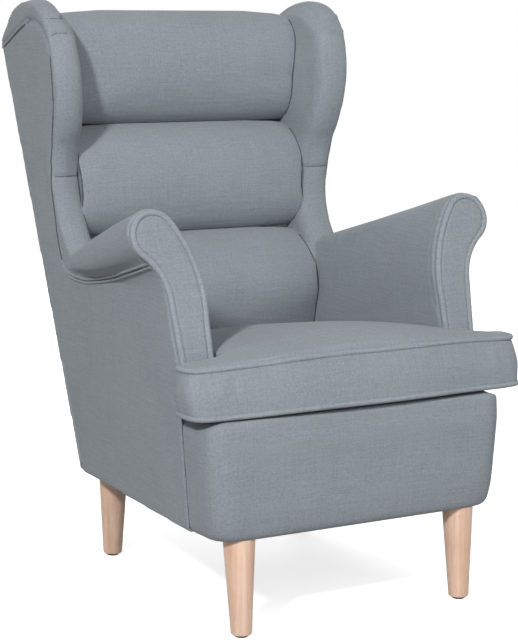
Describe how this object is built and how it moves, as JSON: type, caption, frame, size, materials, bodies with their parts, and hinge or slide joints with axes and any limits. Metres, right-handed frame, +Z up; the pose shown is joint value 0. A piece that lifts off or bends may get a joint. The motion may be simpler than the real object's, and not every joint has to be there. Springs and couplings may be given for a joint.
{
  "type": "wing armchair",
  "caption": "High-backed wing armchair with a channelled back, scrolled arms, a loose T-shaped seat cushion that lifts out, a wrapped apron and tapered wooden legs.",
  "frame": {"origin": "on the floor, under the middle of the chair's outline", "axes": "+Z up from the floor, -Y the way the sitter faces, +X to the sitter's left"},
  "size_m": [0.6994, 0.84, 1.0305],
  "materials": {
    "cover_fabric": "matte",
    "beech": "satin",
    "frame_wood": "matte",
    "plywood": "matte",
    "spring_steel": "satin",
    "glide_plastic": "matte",
    "dust_cloth": "matte",
    "webbing": "matte",
    "lining_cloth": "matte",
    "foam": "matte"
  },
  "bodies": {
    "chair": {"arm_facing_left": "cover_fabric", "arm_facing_right": "cover_fabric", "arm_front_board_left": "plywood", "arm_front_board_right": "plywood", "arm_pad_left": "cover_fabric", "arm_pad_right": "cover_fabric", "arm_rail_left": "frame_wood", "arm_rail_right": "frame_wood", "arm_welt_left": "cover_fabric", "arm_welt_right": "cover_fabric", "back_lining": "lining_cloth", "back_webbing": "webbing", "crest_rail": "frame_wood", "dust_cover": "dust_cloth", "front_apron": "cover_fabric", "head_roll": "cover_fabric", "leg_blocks": "frame_wood", "leg_bolts": "spring_steel", "leg_front_left": "beech", "leg_front_right": "beech", "leg_glides": "glide_plastic", "leg_rear_left": "beech", "leg_rear_right": "beech", "lumbar_rail": "frame_wood", "lumbar_roll": "cover_fabric", "middle_back_rail": "frame_wood", "middle_roll": "cover_fabric", "outside_back_panel": "cover_fabric", "outside_panel_left": "cover_fabric", "outside_panel_right": "cover_fabric", "rear_post_left": "frame_wood", "rear_post_right": "frame_wood", "seat_deck": "lining_cloth", "seat_front_rail": "frame_wood", "seat_rear_rail": "frame_wood", "seat_side_rail_left": "frame_wood", "seat_side_rail_right": "frame_wood", "seat_springs": "spring_steel", "spring_clips": "spring_steel", "threaded_inserts": "spring_steel", "wing_board_left": "plywood", "wing_board_right": "plywood", "wing_pad_left": "cover_fabric", "wing_pad_right": "cover_fabric"},
    "seat_cushion": {"seat_cushion_cover": "cover_fabric", "seat_cushion_core": "foam", "seat_cushion_piping": "cover_fabric"}
  },
  "joints": [
    {"name": "cushion_lift", "type": "slide", "parent": "chair", "child": "seat_cushion", "axis": [0, -0.5, 0.866], "range_m": [0, 0.45]}
  ]
}
